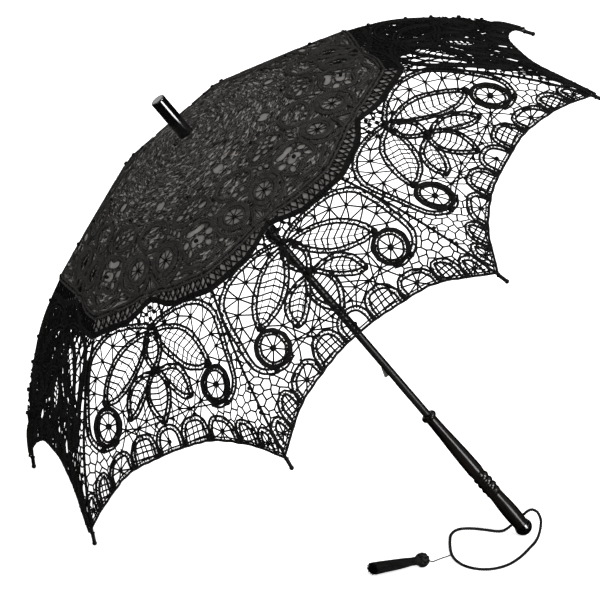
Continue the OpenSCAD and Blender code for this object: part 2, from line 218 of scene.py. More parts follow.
class Strands:
    """Lines that become tubes, each with a radius and a height per point."""

    def __init__(self):
        self.lines = []

    def add(self, line, radius, lift=0.0, sides=4, capped=True):
        line = np.asarray(line, float)
        n = len(line)
        if n > 1:
            self.lines.append((line, np.broadcast_to(radius, n), np.broadcast_to(lift, n), sides, capped))

    def topology(self):
        """Everything about the tubes that doesn't depend on where they lie."""
        t = {key: [] for key in ("at", "owner", "ring", "before", "after", "along", "faces")}
        first = start = 0
        for line, radius, lift, k, capped in self.lines:
            n = len(line)
            drawn_flat = line.shape[1] == 2
            t["at"].append(np.column_stack([line, radius, lift] if drawn_flat else [line, radius]))
            t["before"].append(start + np.maximum(np.arange(n) - 1, 0))
            t["after"].append(start + np.minimum(np.arange(n) + 1, n - 1))
            t["along"].append(walked(line))
            t["owner"].append(np.repeat(np.arange(start, start + n), k))
            t["ring"].append(np.tile(np.arange(k) * 2 * math.pi / k, n))
            v = first + np.arange(n * k).reshape(n, k)
            t["faces"].append(ring_faces(v))
            if capped and k in (4, 6):
                for end in (v[0][::-1], v[-1]):
                    t["faces"].append(end[None, :4])
                    if k == 6:
                        t["faces"].append(end[None, [0, 3, 4, 5]])
            first += n * k
            start += n
        return {key: np.concatenate(parts) for key, parts in t.items()}


def skin(t, p, normal, radius):
    """Ring vertices around the points p, and the fibre value of each."""
    heading = unit(p[t["after"]] - p[t["before"]])
    flat = unit(np.cross(heading, normal))
    top = np.cross(flat, heading)
    o, c, s = t["owner"], np.cos(t["ring"])[:, None], np.sin(t["ring"])[:, None]
    verts = p[o] + radius[o, None] * (c * flat[o] + s * top[o])
    return verts, np.column_stack([t["along"][o], c[:, 0], s[:, 0]])


# -------------------- lace drawing, one half gore


def hem_s(f):
    """The hem's s at a share f of the way from the gore's centre line to the rib."""
    return HEM_MID + HEM_DROP * np.asarray(f, float) ** 2.7


def hem_at_x(x):
    """The hem's s at a distance x from the gore's centre line."""
    s = HEM_MID
    for _ in range(12):
        s = float(hem_s(min(x / float(half_width(s)), 1)))
    return s


def lining_edge(x):
    """The scalloped edge's s at a distance x from the gore's centre line."""
    return np.interp(np.abs(x), [0, 8, 25, 40, 80, 130], [227.5, 230, 238.5, 243.5, 244, 242])


def inside(points, outline):
    """Which points lie in a closed outline."""
    x, y = points[:, 0][:, None], points[:, 1][:, None]
    a, b = outline, np.roll(outline, -1, axis=0)
    spans = (a[:, 1] > y) != (b[:, 1] > y)
    with np.errstate(divide="ignore", invalid="ignore"):
        cut = a[:, 0] + (y - a[:, 1]) * (b[:, 0] - a[:, 0]) / (b[:, 1] - a[:, 1])
    return (spans & (x < cut)).sum(1) % 2 == 1


def in_gore(points):
    """Above zero between the gore's centre line and the rib."""
    return np.minimum(points[:, 0] + 0.01, half_width(points[:, 1]) - points[:, 0] + 0.01)


def runs(line, allowed):
    """The stretches of a line where allowed is above zero, cut where it reaches zero."""
    h = allowed(line)
    keep, out, run = h > 0, [], []
    for k in range(len(line)):
        if keep[k]:
            run.append(line[k])
        if k + 1 < len(line) and keep[k] != keep[k + 1]:
            cut = line[k] + (line[k + 1] - line[k]) * h[k] / (h[k] - h[k + 1])
            run.append(cut)
            if keep[k]:
                out.append(np.array(run))
                run = []
    if len(run) > 1:
        out.append(np.array(run))
    return [r for r in out if len(r) > 1]


def ellipse(x, s, rx, ry, turn=0.0, count=48):
    """A closed ellipse, turned by an angle in degrees."""
    a = np.linspace(0, 2 * math.pi, count + 1)
    p = np.stack([rx * np.cos(a), ry * np.sin(a)], 1)
    c, d = math.cos(math.radians(turn)), math.sin(math.radians(turn))
    return np.array([x, s]) + p @ np.array([[c, d], [-d, c]])


tapes, net, centre, hem, raised = Strands(), Strands(), Strands(), Strands(), Strands()
walls = []


def put(layer, line, radius, lift, sides=4, capped=True):
    """Adds what lies in the half gore to a layer."""
    line = np.asarray(line, float)
    for run in runs(line, in_gore):
        layer.add(run, radius, lift, sides, capped)


def tape(points, layer=tapes, lift=TAPE_LIFT, wall=True, curve=True, half=TAPE_HALF):
    """Two cords with a zigzag thread between them."""
    line = smooth(points, STEP) if curve else spaced(points, STEP)
    if wall:
        walls.append(line)
    for side in (-half, half):
        put(layer, beside(line, side), CORD, lift, 6)
    zigzag = spaced(line, 4.4)
    swing = half * np.where(np.arange(len(zigzag)) % 2, 1, -1)
    put(layer, beside(zigzag, swing), FINE, lift, 3, False)
    return line


def thread(a, b, radius=THREAD, lift=NET_LIFT, layer=net):
    """One straight thread."""
    put(layer, spaced([a, b], 12), radius, lift)


def bead(x, s, r, layer=net, lift=NET_LIFT):
    """A round knot."""
    shape = np.array([[-1, 0.3], [-0.65, 0.8], [0, 1], [0.65, 0.8], [1, 0.3]])
    layer.add(np.array([[x, s + r * k] for k in shape[:, 0]]), r * shape[:, 1], lift + 0.3, 6)


def reach(p, angle, limit, targets):
    """How far a ray from p gets before a tape, or None."""
    d = np.array([math.cos(angle), math.sin(angle)])
    a, b = targets
    e = b - a
    cross = d[0] * e[:, 1] - d[1] * e[:, 0]
    with np.errstate(divide="ignore", invalid="ignore"):
        t = ((a[:, 0] - p[0]) * e[:, 1] - (a[:, 1] - p[1]) * e[:, 0]) / cross
        k = ((a[:, 0] - p[0]) * d[1] - (a[:, 1] - p[1]) * d[0]) / cross
    hit = t[(t > 0.8) & (k >= 0) & (k <= 1)]
    return float(hit.min()) if len(hit) and hit.min() <= limit else None


def segments(lines):
    """The starts and the ends of all the lines' stretches."""
    return np.vstack([w[:-1] for w in lines]), np.vstack([w[1:] for w in lines])


def star(x, s, count, limit, targets, start=0.0, layer=net, r=1.5, jitter=0.16, radius=THREAD):
    """Spokes from a knot out to the tapes around it."""
    for k in range(count):
        angle = start + 2 * math.pi * k / count + rng.uniform(-jitter, jitter)
        far = reach((x, s), angle, limit, targets)
        if far:
            thread((x, s), (x + far * math.cos(angle), s + far * math.sin(angle)), radius, layer=layer)
    bead(x, s, r, layer)


def barred_leaf(vein, pitch, targets, slant=0.35, layer=net):
    """A vein with bars out to both sides of its leaf."""
    line = smooth(vein, pitch)
    put(layer, spaced(line, 3), VEIN, NET_LIFT + 0.2)
    heading = unit(np.gradient(line, axis=0))
    for p, h in zip(line[1:-1], heading[1:-1]):
        base = math.atan2(h[1], h[0])
        for side in (-1, 1):
            angle = base + side * (math.pi / 2 - slant) + rng.uniform(-0.15, 0.15)
            far = reach(p, angle, 26, targets)
            if far:
                q = p + far * np.array([math.cos(angle), math.sin(angle)])
                thread(p, q, layer=layer)
                if far > 9:
                    mid = (p + q) / 2 + h * 0.4
                    thread(mid, mid + h * pitch + rng.uniform(-1.2, 1.2, 2), THIN, layer=layer)


rng = np.random.default_rng(7)

# Outer tape, ring, leaves and petal
OUTER = [
    (0, 257), (12, 251), (28, 246.5), (48, 245.5), (66, 248), (82, 256), (93.5, 268), (99, 283),
    (103, 300), (106, 318), (109, 335), (109.5, 350), (104, 362), (94, 370), (83, 372), (72, 368),
]
BIG_UPPER = [(2, 262), (14, 262), (30, 265), (46, 272), (59, 283), (69, 297), (75, 310), (78, 321)]
BIG_LOWER = [(78, 321), (68, 322), (54, 319), (41, 312), (30, 303), (20, 292), (12, 280), (5, 268)]
BIG_VEIN = [(8, 266), (24, 279), (42, 294), (58, 308), (74, 318)]
PETAL = [(1, 261), (7, 266), (10.5, 276), (10.5, 288), (6, 298), (0.5, 305)]
CENTRE_LEAF = [(1.5, 307), (11, 318), (15, 330), (14, 342), (8, 355), (1, 366)]
SMALL_UPPER = [(4, 309), (18, 309), (32, 313), (41, 322), (46, 334), (47, 349)]
SMALL_LOWER = [(47, 349), (38, 347), (28, 339), (18, 328), (9, 316)]
SMALL_VEIN = [(8, 312), (22, 320), (34, 332), (45, 345)]
RING = (82, 348, 14.5, 18.5)

outer = tape(OUTER)
big = np.vstack([tape(BIG_UPPER), tape(BIG_LOWER)])
petal = tape(PETAL)
centre_leaf = tape(CENTRE_LEAF)
small = np.vstack([tape(SMALL_UPPER), tape(SMALL_LOWER)])
ring = tape(ellipse(*RING, turn=-8), curve=False, half=1.7)
tape(ellipse(RING[0], RING[1], RING[2] + 3.8, RING[3] + 3.6, turn=-8), wall=False, curve=False, half=0.7)

# Arches along the hem
ARCH_EDGES = [-19, 19, 57, 96, 122, 142.5]
ARCH_HIGH = [28, 29, 25, 28, 26]
arches = []
for a, b, high in zip(ARCH_EDGES, ARCH_EDGES[1:], ARCH_HIGH):
    t = np.linspace(0, math.pi, 40)
    x = (a + b) / 2 - ((b - a) / 2 - 2.5) * np.sign(np.cos(t)) * np.abs(np.cos(t)) ** 0.75
    base = np.array([hem_at_x(abs(k)) for k in x])
    arch = np.stack([x, base - 2 - (high - 2) * np.sin(t) ** 0.62], 1)
    arches.append(spaced(arch, STEP))
    tape(arch, curve=False)
hem_line = np.array([(half_width(s) * f, s) for f in np.linspace(0, 1, 90) for s in [float(hem_s(f))]])
hem_wall = np.stack([hem_line[:, 0], hem_line[:, 1] - 2], 1)
walls.append(hem_wall)

# Edge of the lining
edge_x = np.linspace(0, 100, 60)
edge = np.stack([edge_x, lining_edge(edge_x)], 1)
walls.append(edge)
everything = segments(walls)

# Bars across the leaves and the petal, and the thread down the gore's middle
barred_leaf(BIG_VEIN, 7.5, segments([big]))
barred_leaf(SMALL_VEIN, 7.0, segments([small]))
for line, a, b in ((petal, 262, 304), (centre_leaf, 309, 364)):
    both = segments([line, line * [-1, 1]])
    for s in np.arange(a + 5, b - 3, 6.5):
        far = reach((0, s), rng.uniform(-0.35, 0.1), 20, both)
        if far:
            thread((0, s), (far, s - 0.2 * far))
for top, low in ((233, 305), (305, 366)):
    centre.add(spaced([(0, top), (0, low)], 4), VEIN, NET_LIFT + 0.2)
centre.add(spaced([(0, 366), (0, 373)], 4), THREAD, NET_LIFT)

# Fan knots between the outer tape and the big leaf, and webs below
around_wing = segments([outer, big, ring])
FANS = [(20, 256.5), (42, 256.5), (60, 262.5), (76, 274), (87, 290), (92, 306), (93.5, 323)]
for k, (x, s) in enumerate(FANS):
    star(x, s, 9, 24, around_wing, start=0.4 * k, r=1.8)
for (xa, sa), (xb, sb) in zip(FANS, FANS[1:]):
    thread((xa, sa), (xb, sb))
star(RING[0], RING[1], 9, 22, segments([ring]), start=0.2, r=3.6)
WEB_ZONE = [
    (0, 368), (9, 354), (15, 341), (15, 327), (19, 327), (28, 338), (38, 346.5), (47, 349), (47, 334),
    (42, 321), (54, 319), (68, 322), (76, 322), (69, 333), (67, 348), (70, 362), (82, 369), (70, 378),
    (57, 395), (0, 395),
]
WEBS = [(25, 357, 7, 0.3), (40, 362, 8, 0.1), (58, 359, 8, 0.4), (58, 337, 7, 0.2), (13, 366, 5, 0.9)]
for x, s, count, start in WEBS:
    star(x, s, count, 40, everything, start=start, r=2.0)
for (xa, sa), (xb, sb) in zip([w[:2] for w in WEBS[:4]], [w[:2] for w in WEBS[1:4]]):
    thread((xa, sa), (xb, sb))

# Knots in the gap above the outer tape's middle, and larger ones where tapes meet
for x, s in ((5.5, 240), (17, 243.5)):
    star(x, s, 5, 12, everything, start=0.5, r=2.5)
for s in (233.5, 247):
    bead(0, s, 2.5, centre)
for a, b in (((0, 233.5), (5.5, 240)), ((5.5, 240), (0, 247))):
    thread(a, b, THIN)
for x, s, r in ((0, 257, 4.2), (0, 306, 4.6), (0, 366, 3.0)):
    bead(x, s, r, centre, TAPE_LIFT)
for x, s, r in ((78, 321, 4.2), (47, 349, 3.4), (94, 371, 3.6), (7, 262, 2.8), (6, 310, 3.0)):
    bead(x, s, r, lift=TAPE_LIFT)

# Arch fillings: spiders and small grids by turns, and three bars where two arches meet
for k, (a, b) in enumerate(zip(ARCH_EDGES, ARCH_EDGES[1:])):
    middle = (a + b) / 2
    floor_s = hem_at_x(abs(middle))
    shape = segments([arches[k], hem_wall, hem_wall * [-1, 1]])
    if k in (0, 2, 4):
        target = centre if k == 0 else net
        x, s = middle, floor_s - 0.42 * ARCH_HIGH[k]
        for j in range(9):
            angle = 0.2 + 2 * math.pi * j / 9 + rng.uniform(-0.12, 0.12)
            far = reach((x, s), angle, ARCH_REACH, shape)
            if far:
                end = (x + far * math.cos(angle), s + far * math.sin(angle))
                if k:
                    thread((x, s), end)
                else:
                    centre.add(np.array([(x, s), end]), THREAD, NET_LIFT)
        bead(x, s, 2.6, target)
    else:
        for step in np.linspace(0.22, 0.78, 4):
            x = a + (b - a) * step + rng.uniform(-0.8, 0.8)
            s = hem_at_x(x) - 0.4 * ARCH_HIGH[k]
            for angle in (math.pi / 2 + rng.uniform(-0.1, 0.1), -math.pi / 2 + rng.uniform(-0.15, 0.15)):
                far = reach((x, s), angle, ARCH_REACH, shape)
                if far:
                    thread((x, s), (x + far * math.cos(angle), s + far * math.sin(angle)))
        for rise in (0.22, 0.45, 0.68):
            s = floor_s - rise * ARCH_HIGH[k]
            for angle in (0.08, math.pi - 0.05):
                far = reach((middle, s), angle + rng.uniform(-0.12, 0.12), ARCH_REACH, shape)
                if far:
                    thread((middle, s), (middle + far * math.cos(angle), s + far * math.sin(angle)))
for x in ARCH_EDGES[1:-1]:
    low = hem_at_x(x)
    for k in (-1, 0, 1):
        bar = [(x + 2.1 * k, low - 1), (x + 1.2 * k, low - 15 + 2 * abs(k))]
        put(tapes, spaced(bar, 3), BAR, TAPE_LIFT - 0.3, 6)

# Open net: irregular six-sided meshes wherever nothing else is
wing = np.vstack([outer[: int(len(outer) * 0.83)], [(68, 345), (78, 321)], smooth(BIG_UPPER, 4)[::-1]])
blocked = [big, small, ring, wing, np.array(WEB_ZONE, float)]
blocked += [np.vstack([petal, [(0, 305), (0, 257)]]), np.vstack([centre_leaf, [(0, 366), (0, 306)]])]
arch_zone = [np.vstack([a, a[::-1] * [1, 0] + [0, 470]]) for a in arches]


def open_net(p):
    """Above zero where the open net may run."""
    h = np.minimum(in_gore(p), p[:, 1] - lining_edge(p[:, 0]))
    f = p[:, 0] / half_width(p[:, 1])
    h = np.minimum(h, hem_s(np.clip(f, 0, 1)) - p[:, 1] - 2)
    for outline in blocked + arch_zone:
        h = np.where(inside(p, outline), -1, h)
    return h


def honeycomb(x0, x1, s0, s1, w, h, jitter):
    """Edges of a jittered honeycomb."""
    corner = {}

    def at(c, r):
        if (c, r) not in corner:
            x = x0 + c * w / 2
            s = s0 + r * h * 0.75 + (h * 0.25 if (c + r) % 2 else 0)
            corner[c, r] = np.array([x, s]) + rng.uniform(-jitter, jitter, 2)
        return corner[c, r]

    edges = []
    for r in range(int((s1 - s0) / (h * 0.75)) + 1):
        for c in range(int((x1 - x0) / (w / 2)) + 1):
            edges.append((at(c, r), at(c + 1, r)))
            if (c + r) % 2:
                edges.append((at(c, r), at(c, r + 1)))
    return edges


for a, b in honeycomb(-2, 150, 226, 452, CELL_W, CELL_H, CELL_JITTER):
    for run in runs(spaced([a, b], 1.0), open_net):
        if np.linalg.norm(run[-1] - run[0]) > 1.5:
            net.add(run[[0, -1]], THREAD, NET_LIFT)

# Knots that tie the lace along the ribs
for s in np.arange(112, 436, KNOT_STEP):
    s = s + rng.uniform(-12, 12)
    bead(float(half_width(s)) - 0.6, s, rng.uniform(1.4, 2.3), lift=TAPE_LIFT + 0.3)

# Hem: two cords laid side by side, wrapped together
for inner, r in ((1.25, HEM_CORD), (4.9, HEM_SECOND)):
    hem.add(spaced(np.stack([hem_line[:, 0], hem_line[:, 1] - inner], 1), 3), r, NET_LIFT, 6)
wrap = spaced(np.stack([hem_line[:, 0], hem_line[:, 1] - 3.0], 1), 1.6)
swing = 1.6 * np.where(np.arange(len(wrap)) % 2, 1, -1)
hem.add(beside(wrap, swing), 0.45, NET_LIFT, 3, False)

# Over the lining: band along its edge, inner tape, row of crosses, wheels, flowers and scrolls
for k in range(4):
    line = np.stack([edge_x, lining_edge(edge_x) - 1.0 - 1.75 * k], 1)
    put(hem, spaced(line, 3), BAR, NET_LIFT, 6)
ROW_TOP = [(0, 217), (12, 215), (24, 217), (40, 219.5), (62, 220), (100, 218)]
row_top = tape(ROW_TOP, raised)
for k, x in enumerate(np.arange(13, 92, CROSS)):
    top = float(np.interp(x, row_top[:, 0], row_top[:, 1]))
    low = float(lining_edge(x)) - 7
    thread((x, top), (x + CROSS, low), CROSS_THREAD)
    thread((x, low), (x + CROSS, top), CROSS_THREAD)
    if k % 2:
        thread((x + CROSS, low), (x + CROSS, top + 1), THIN)
WHEEL = (21, 183, 13.2, 14.2)
wheel = tape(ellipse(*WHEEL), raised, curve=False, half=1.5)
tape(ellipse(WHEEL[0], WHEEL[1], 16.8, 17.8), raised, wall=False, curve=False, half=0.9)
star(WHEEL[0], WHEEL[1], 9, 18, segments([wheel]), start=0.3, r=1.7, radius=FINE)
for angle in (-1.25, -0.95, -0.62):
    thread((0, 217), (20 * math.cos(angle), 217 + 20 * math.sin(angle)), THIN)
centre.add(np.array([(0, 194), (0, 217)]), THIN, NET_LIFT)
for x in (1.5, 17):
    tape([(x, 193), (x + 5, 204 - 0.1 * x), (14 + 0.25 * x, 214)], raised, wall=False, half=1.2)
PETALS = [
    (64.5, 175, 6, 6.3), (51.5, 175, 5, 4.8), (58, 161.5, 7.5, 4.6), (59, 187.5, 3.4, 5.2),
    (53, 128, 5.4, 3), (43.5, 127.5, 3.4, 3), (49, 136, 3.4, 2.9), (37.5, 134, 6, 3.4),
    (39, 156, 2.7, 4.4), (32, 152, 2.6, 4), (26, 148.5, 2.4, 3.8), (5, 159, 4, 4), (3, 104, 4.2, 7),
    (30, 92, 3.6, 3.2), (72, 143, 2.6, 5),
]
for x, s, rx, ry in PETALS:
    put(raised, ellipse(x, s, rx + 0.4, ry + 0.4, count=12), VEIN, GROUND_LIFT + 0.5)
SCROLLS = [
    [(0, 163), (10, 165), (24, 163), (38, 168), (44.5, 182), (42, 198), (30, 208), (17, 213)],
    [(46, 204), (60, 206), (76, 210), (90, 207)],
    [(0, 128), (14, 132), (22, 141), (19, 153), (8, 162)],
    [(30, 132), (34, 120), (46, 117), (60, 122), (63, 133), (56, 143), (42, 146), (32, 142), (30, 132)],
    [(74, 152), (62, 151), (47, 157), (43, 170), (49, 186), (60, 196), (72, 188), (76, 174), (74, 152)],
]
for points in SCROLLS:
    tape(points, raised, wall=False, half=1.3, lift=GROUND_LIFT + 0.6)

drawings = {"tape": tapes, "net": net, "centre": centre, "hem": hem, "raised": raised}
layers = {name: drawing.topology() for name, drawing in drawings.items()}


def crinkle(x, s, seed):
    """Relief of the crinkled ground, in mm."""
    a, b, c = seed
    ridge = np.sin(1.25 * s + 2.4 * np.sin(0.12 * x + a) + 1.3 * np.sin(0.33 * x + b))
    swell = 0.4 + np.sin(0.45 * x + 1.6 * np.sin(0.19 * s + c))
    return 0.45 * ridge * swell + 0.2 * np.sin(0.6 * s + 0.5 * x + b)


def warped(x, s, seed):
    """Hand-made unevenness: none on a gore's centre line or on a rib."""
    w = half_width(s)
    fade = np.sin(math.pi * np.clip(x / w, 0, 1))
    a, b, c = seed
    dx = 1.7 * np.sin(0.061 * s + a) * np.cos(0.05 * x + b) + 0.4 * np.sin(0.47 * s + 0.31 * x + c)
    ds = 1.9 * np.sin(0.055 * x + c) * np.cos(0.043 * s + a) + 0.4 * np.sin(0.43 * x - 0.27 * s + b)
    return np.clip(x + fade * dx, 0, w), s + fade * ds


def strands_on_gore(t, side, rib, seed):
    """A layer's tubes on one half gore."""
    x, s, radius, lift = t["at"].T
    x, s = warped(x, s, seed)
    p, n = on_dome(x, s, side, rib)
    verts, fibre = skin(t, p + MM * lift[:, None] * n, n, MM * radius)
    return verts, t["faces"], fibre


def joined(parts):
    """Several meshes as one."""
    verts, faces, fibre, first = [], [], [], 0
    for v, f, e in parts:
        verts.append(v)
        faces.append(f + first)
        fibre.append(e)
        first += len(v)
    return np.vstack(verts), np.vstack(faces), np.vstack(fibre)


def gore_sheet(side, rib, seed, lift, across, step, holes=(), relief=0.0, margin=0.0):
    """A sheet from the top of a half gore to the lining's edge, with its holes left open."""
    g = np.linspace(0, 1, across + 1)
    f = np.linspace(0, 1, int((235 - LINING_TOP) / step) + 1)
    gg, ff = np.meshgrid(g, f)
    s = LINING_TOP + ff * (LINING_LOW - margin - LINING_TOP)
    x = gg * half_width(s)
    s = s + ff * (lining_edge(x) - LINING_LOW)
    x = gg * half_width(s)
    flat = np.stack([x.ravel(), s.ravel()], 1)
    x, s = warped(flat[:, 0], flat[:, 1], seed)
    p, n = on_dome(x, s, side, rib)
    p = p + MM * (lift + relief * crinkle(side * x, s, seed))[:, None] * n
    rows, cols = gg.shape
    v = np.arange(rows * cols).reshape(rows, cols)
    faces = np.stack([v[:-1, :-1], v[:-1, 1:], v[1:, 1:], v[1:, :-1]], -1).reshape(-1, 4)
    if holes:
        middle = flat[faces].mean(1)
        gone = np.zeros(len(faces), bool)
        for outline in holes:
            gone |= inside(middle, outline)
        faces = faces[~gone]
    if side < 0:
        faces = faces[:, ::-1]
    return p, faces, np.column_stack([side * x, s, np.zeros(len(x))])


def compact(verts, faces, fibre):
    """The mesh without the vertices that no face uses."""
    used, index = np.unique(faces, return_inverse=True)
    return verts[used], index.reshape(faces.shape), fibre[used]


# -------------------- materials


def nodes_of(mat):
    return mat.node_tree.nodes, mat.node_tree.links


def new_material(name, rough, **sockets):
    """A Principled material with its even values on its own sockets."""
    mat = bpy.data.materials.new(name)
    mat.use_nodes = True
    shader = mat.node_tree.nodes["Principled BSDF"]
    shader.inputs["Roughness"].default_value = rough
    for key, value in sockets.items():
        shader.inputs[key.replace("_", " ")].default_value = value
    return mat, shader


def mixed(mat, factor, a, b):
    """A colour between a and b."""
    nodes, links = nodes_of(mat)
    mix = nodes.new("ShaderNodeMix")
    mix.data_type = "RGBA"
    links.new(factor, mix.inputs[0])
    for socket, value in ((mix.inputs[6], a), (mix.inputs[7], b)):
        if isinstance(value, tuple):
            socket.default_value = (*value, 1)
        else:
            links.new(value, socket)
    return mix.outputs[2]


def noise(mat, vector, scale, detail=3.0, distortion=0.0):
    """Soft random tone, about 0 to 1."""
    nodes, links = nodes_of(mat)
    n = nodes.new("ShaderNodeTexNoise")
    n.inputs["Scale"].default_value = scale
    n.inputs["Detail"].default_value = detail
    n.inputs["Distortion"].default_value = distortion
    links.new(vector, n.inputs["Vector"])
    return n.outputs["Fac"]


def ranged(mat, value, low, high, to_low=0.0, to_high=1.0):
    """The value mapped from one range to another."""
    nodes, links = nodes_of(mat)
    r = nodes.new("ShaderNodeMapRange")
    links.new(value, r.inputs[0])
    for k, v in enumerate((low, high, to_low, to_high)):
        r.inputs[k + 1].default_value = v
    return r.outputs[0]


def maths(mat, kind, a, b=0.0):
    nodes, links = nodes_of(mat)
    m = nodes.new("ShaderNodeMath")
    m.operation = kind
    for socket, value in ((m.inputs[0], a), (m.inputs[1], b)):
        if isinstance(value, (int, float)):
            socket.default_value = value
        else:
            links.new(value, socket)
    return m.outputs[0]


def bumped(mat, shader, height, strength, distance):
    """Relief on the shader's normal."""
    nodes, links = nodes_of(mat)
    b = nodes.new("ShaderNodeBump")
    b.inputs["Strength"].default_value = strength
    b.inputs["Distance"].default_value = distance
    links.new(height, b.inputs["Height"])
    links.new(b.outputs[0], shader.inputs["Normal"])


def places(mat):
    """Object coordinates, in metres."""
    return nodes_of(mat)[0].new("ShaderNodeTexCoord").outputs["Object"]


def fibre_values(mat):
    """The fibre value, whole and split in three."""
    nodes, links = nodes_of(mat)
    a = nodes.new("ShaderNodeAttribute")
    a.attribute_name = "fibre"
    split = nodes.new("ShaderNodeSeparateXYZ")
    links.new(a.outputs["Vector"], split.inputs[0])
    return a.outputs["Vector"], split.outputs


def shaft_places(mat, along, around):
    """Coordinates stretched along the shaft."""
    nodes, links = nodes_of(mat)
    out = nodes.new("ShaderNodeCombineXYZ")
    where = places(mat)
    for k, (axis, scale) in enumerate(((SHAFT, along), (UPPER, around), (LEVEL, around))):
        dot = nodes.new("ShaderNodeVectorMath")
        dot.operation = "DOT_PRODUCT"
        links.new(where, dot.inputs[0])
        dot.inputs[1].default_value = tuple(float(c) * scale for c in axis)
        links.new(dot.outputs["Value"], out.inputs[k])
    return out.outputs[0]


def thread_material(name, dark, light, pitch, rough=0.6, shine=0.06):
    """Twisted thread: a helix of fibre along each strand, with painted shade in its grooves and painted highlight
    on its ridges.
    """
    mat, shader = new_material(name, rough, Specular_IOR_Level=shine)
    _, (along, cos_v, sin_v) = fibre_values(mat)
    turn = maths(mat, "MULTIPLY", along, 2 * math.pi / pitch)
    a = maths(mat, "MULTIPLY", maths(mat, "SINE", turn), cos_v)
    b = maths(mat, "MULTIPLY", maths(mat, "COSINE", turn), sin_v)
    helix = maths(mat, "ADD", a, b)
    # Painted shade and highlight: the helix darkens the colour in the twist's grooves and lightens it on the
    # ridges; the noise adds random tone.
    tone = maths(mat, "ADD", maths(mat, "MULTIPLY", helix, 0.25), noise(mat, places(mat), 260, 4))
    colour = mixed(mat, ranged(mat, tone, 0.2, 0.85), dark, light)
    worn = ranged(mat, tone, 0.2, 0.9, rough - 0.1, rough + 0.15)
    mat.node_tree.links.new(colour, shader.inputs["Base Color"])
    mat.node_tree.links.new(worn, shader.inputs["Roughness"])
    bumped(mat, shader, helix, 0.5, 0.00012)
    return mat


lace_mat = thread_material("lace_thread", (0.0015, 0.0014, 0.0013), (0.011, 0.0105, 0.01), 3.2)
net_mat = thread_material("net_thread", (0.0012, 0.0012, 0.0011), (0.007, 0.0066, 0.0062), 1.6)
# The raised cords are the lace's black thread made several times lighter: painted light on the cords over the
# lining.
raised_lit_copy_mat = thread_material("raised_cord", (0.003, 0.0028, 0.0027), (0.045, 0.0425, 0.04), 2.4, 0.6, 0.12)
cord_mat = thread_material("twisted_cord", (0.002, 0.002, 0.0019), (0.014, 0.0135, 0.013), 2.4, 0.5, 0.12)
silk_mat = thread_material("tassel_silk", (0.002, 0.002, 0.002), (0.013, 0.0125, 0.012), 2.0, 0.42, 0.15)


def ground_material():
    """Crinkled lace ground: ridges across the gore, with painted shade in the cracks between them and painted
    highlights on a few thread tops.
    """
    mat, shader = new_material("lace_ground", 0.6, Specular_IOR_Level=0.12)
    nodes, links = nodes_of(mat)
    flat, _ = fibre_values(mat)
    stretch = nodes.new("ShaderNodeVectorMath")
    stretch.operation = "MULTIPLY"
    stretch.inputs[1].default_value = (0.085, 0.23, 1)
    links.new(flat, stretch.inputs[0])
    dashes = noise(mat, stretch.outputs[0], 1.25, 3.5, 0.8)
    grain = noise(mat, flat, 1.3, 3)
    tone = maths(mat, "ADD", maths(mat, "MULTIPLY", dashes, 0.75), maths(mat, "MULTIPLY", grain, 0.25))
    # Painted shade: near black in the cracks, where the noise crosses its middle; the same cracks deepen the bump.
    crease_with_painted_shade = maths(mat, "ABSOLUTE", maths(mat, "SUBTRACT", dashes, 0.49))
    low = mixed(mat, ranged(mat, crease_with_painted_shade, 0.016, 0.08), (0.001, 0.001, 0.001), (0.056, 0.053, 0.05))
    # Painted highlight: the highest tone turns light grey, as on lit thread tops.
    colour = mixed(mat, ranged(mat, tone, 0.55, 0.62), low, (0.27, 0.256, 0.243))
    links.new(colour, shader.inputs["Base Color"])
    links.new(ranged(mat, grain, 0.3, 0.7, 0.65, 0.9), shader.inputs["Roughness"])
    relief = maths(mat, "ADD", maths(mat, "MULTIPLY", crease_with_painted_shade, 1.2), tone)
    bumped(mat, shader, relief, 1.0, 0.0022)
    return mat


def lining_material():
    """Thin plain-woven black cloth, painted light grey for the light that shines through it, with a tone that
    differs at random.
    """
    finish = {"Sheen_Weight": 0.1, "Sheen_Roughness": 0.5, "Specular_IOR_Level": 0.2}
    mat, shader = new_material("lining_cloth", 0.8, **finish)
    links = mat.node_tree.links
    flat, (across, down, _) = fibre_values(mat)
    warp = maths(mat, "SINE", maths(mat, "MULTIPLY", across, 14.0))
    weft = maths(mat, "SINE", maths(mat, "MULTIPLY", down, 14.0))
    weave = maths(mat, "MULTIPLY", warp, weft)
    shade = noise(mat, flat, 0.05, 3)
    # Painted light: a light grey base on black cloth, standing in for the light that shines through it.
    base = mixed(mat, ranged(mat, shade, 0.3, 0.7), (0.17, 0.161, 0.154), (0.25, 0.238, 0.228))
    thread_tone = mixed(mat, ranged(mat, weave, -1, 1, 0, 0.35), base, (0.08, 0.076, 0.072))
    links.new(thread_tone, shader.inputs["Base Color"])
    links.new(ranged(mat, shade, 0.3, 0.7, 0.72, 0.88), shader.inputs["Roughness"])
    bumped(mat, shader, weave, 0.25, 0.0002)
    return mat


ground_mat = ground_material()
lining_mat = lining_material()


def hard_material(name, dark, light, rough, along=3.0, around=160.0, scale=1.0, bump=0.08, **sockets):
    """Lacquer or enamel with faint streaks along the shaft and small dust and wear."""
    mat, shader = new_material(name, rough, **sockets)
    links = mat.node_tree.links
    streaks = noise(mat, shaft_places(mat, along, around), scale, 5)
    fine = noise(mat, places(mat), 900, 4)
    links.new(mixed(mat, ranged(mat, streaks, 0.42, 0.72), dark, light), shader.inputs["Base Color"])
    wear = maths(mat, "ADD", maths(mat, "MULTIPLY", streaks, 0.6), maths(mat, "MULTIPLY", fine, 0.4))
    links.new(ranged(mat, wear, 0.35, 0.65, rough * 0.8, rough * 1.25), shader.inputs["Roughness"])
    bumped(mat, shader, wear, bump, 0.0002)
    return mat


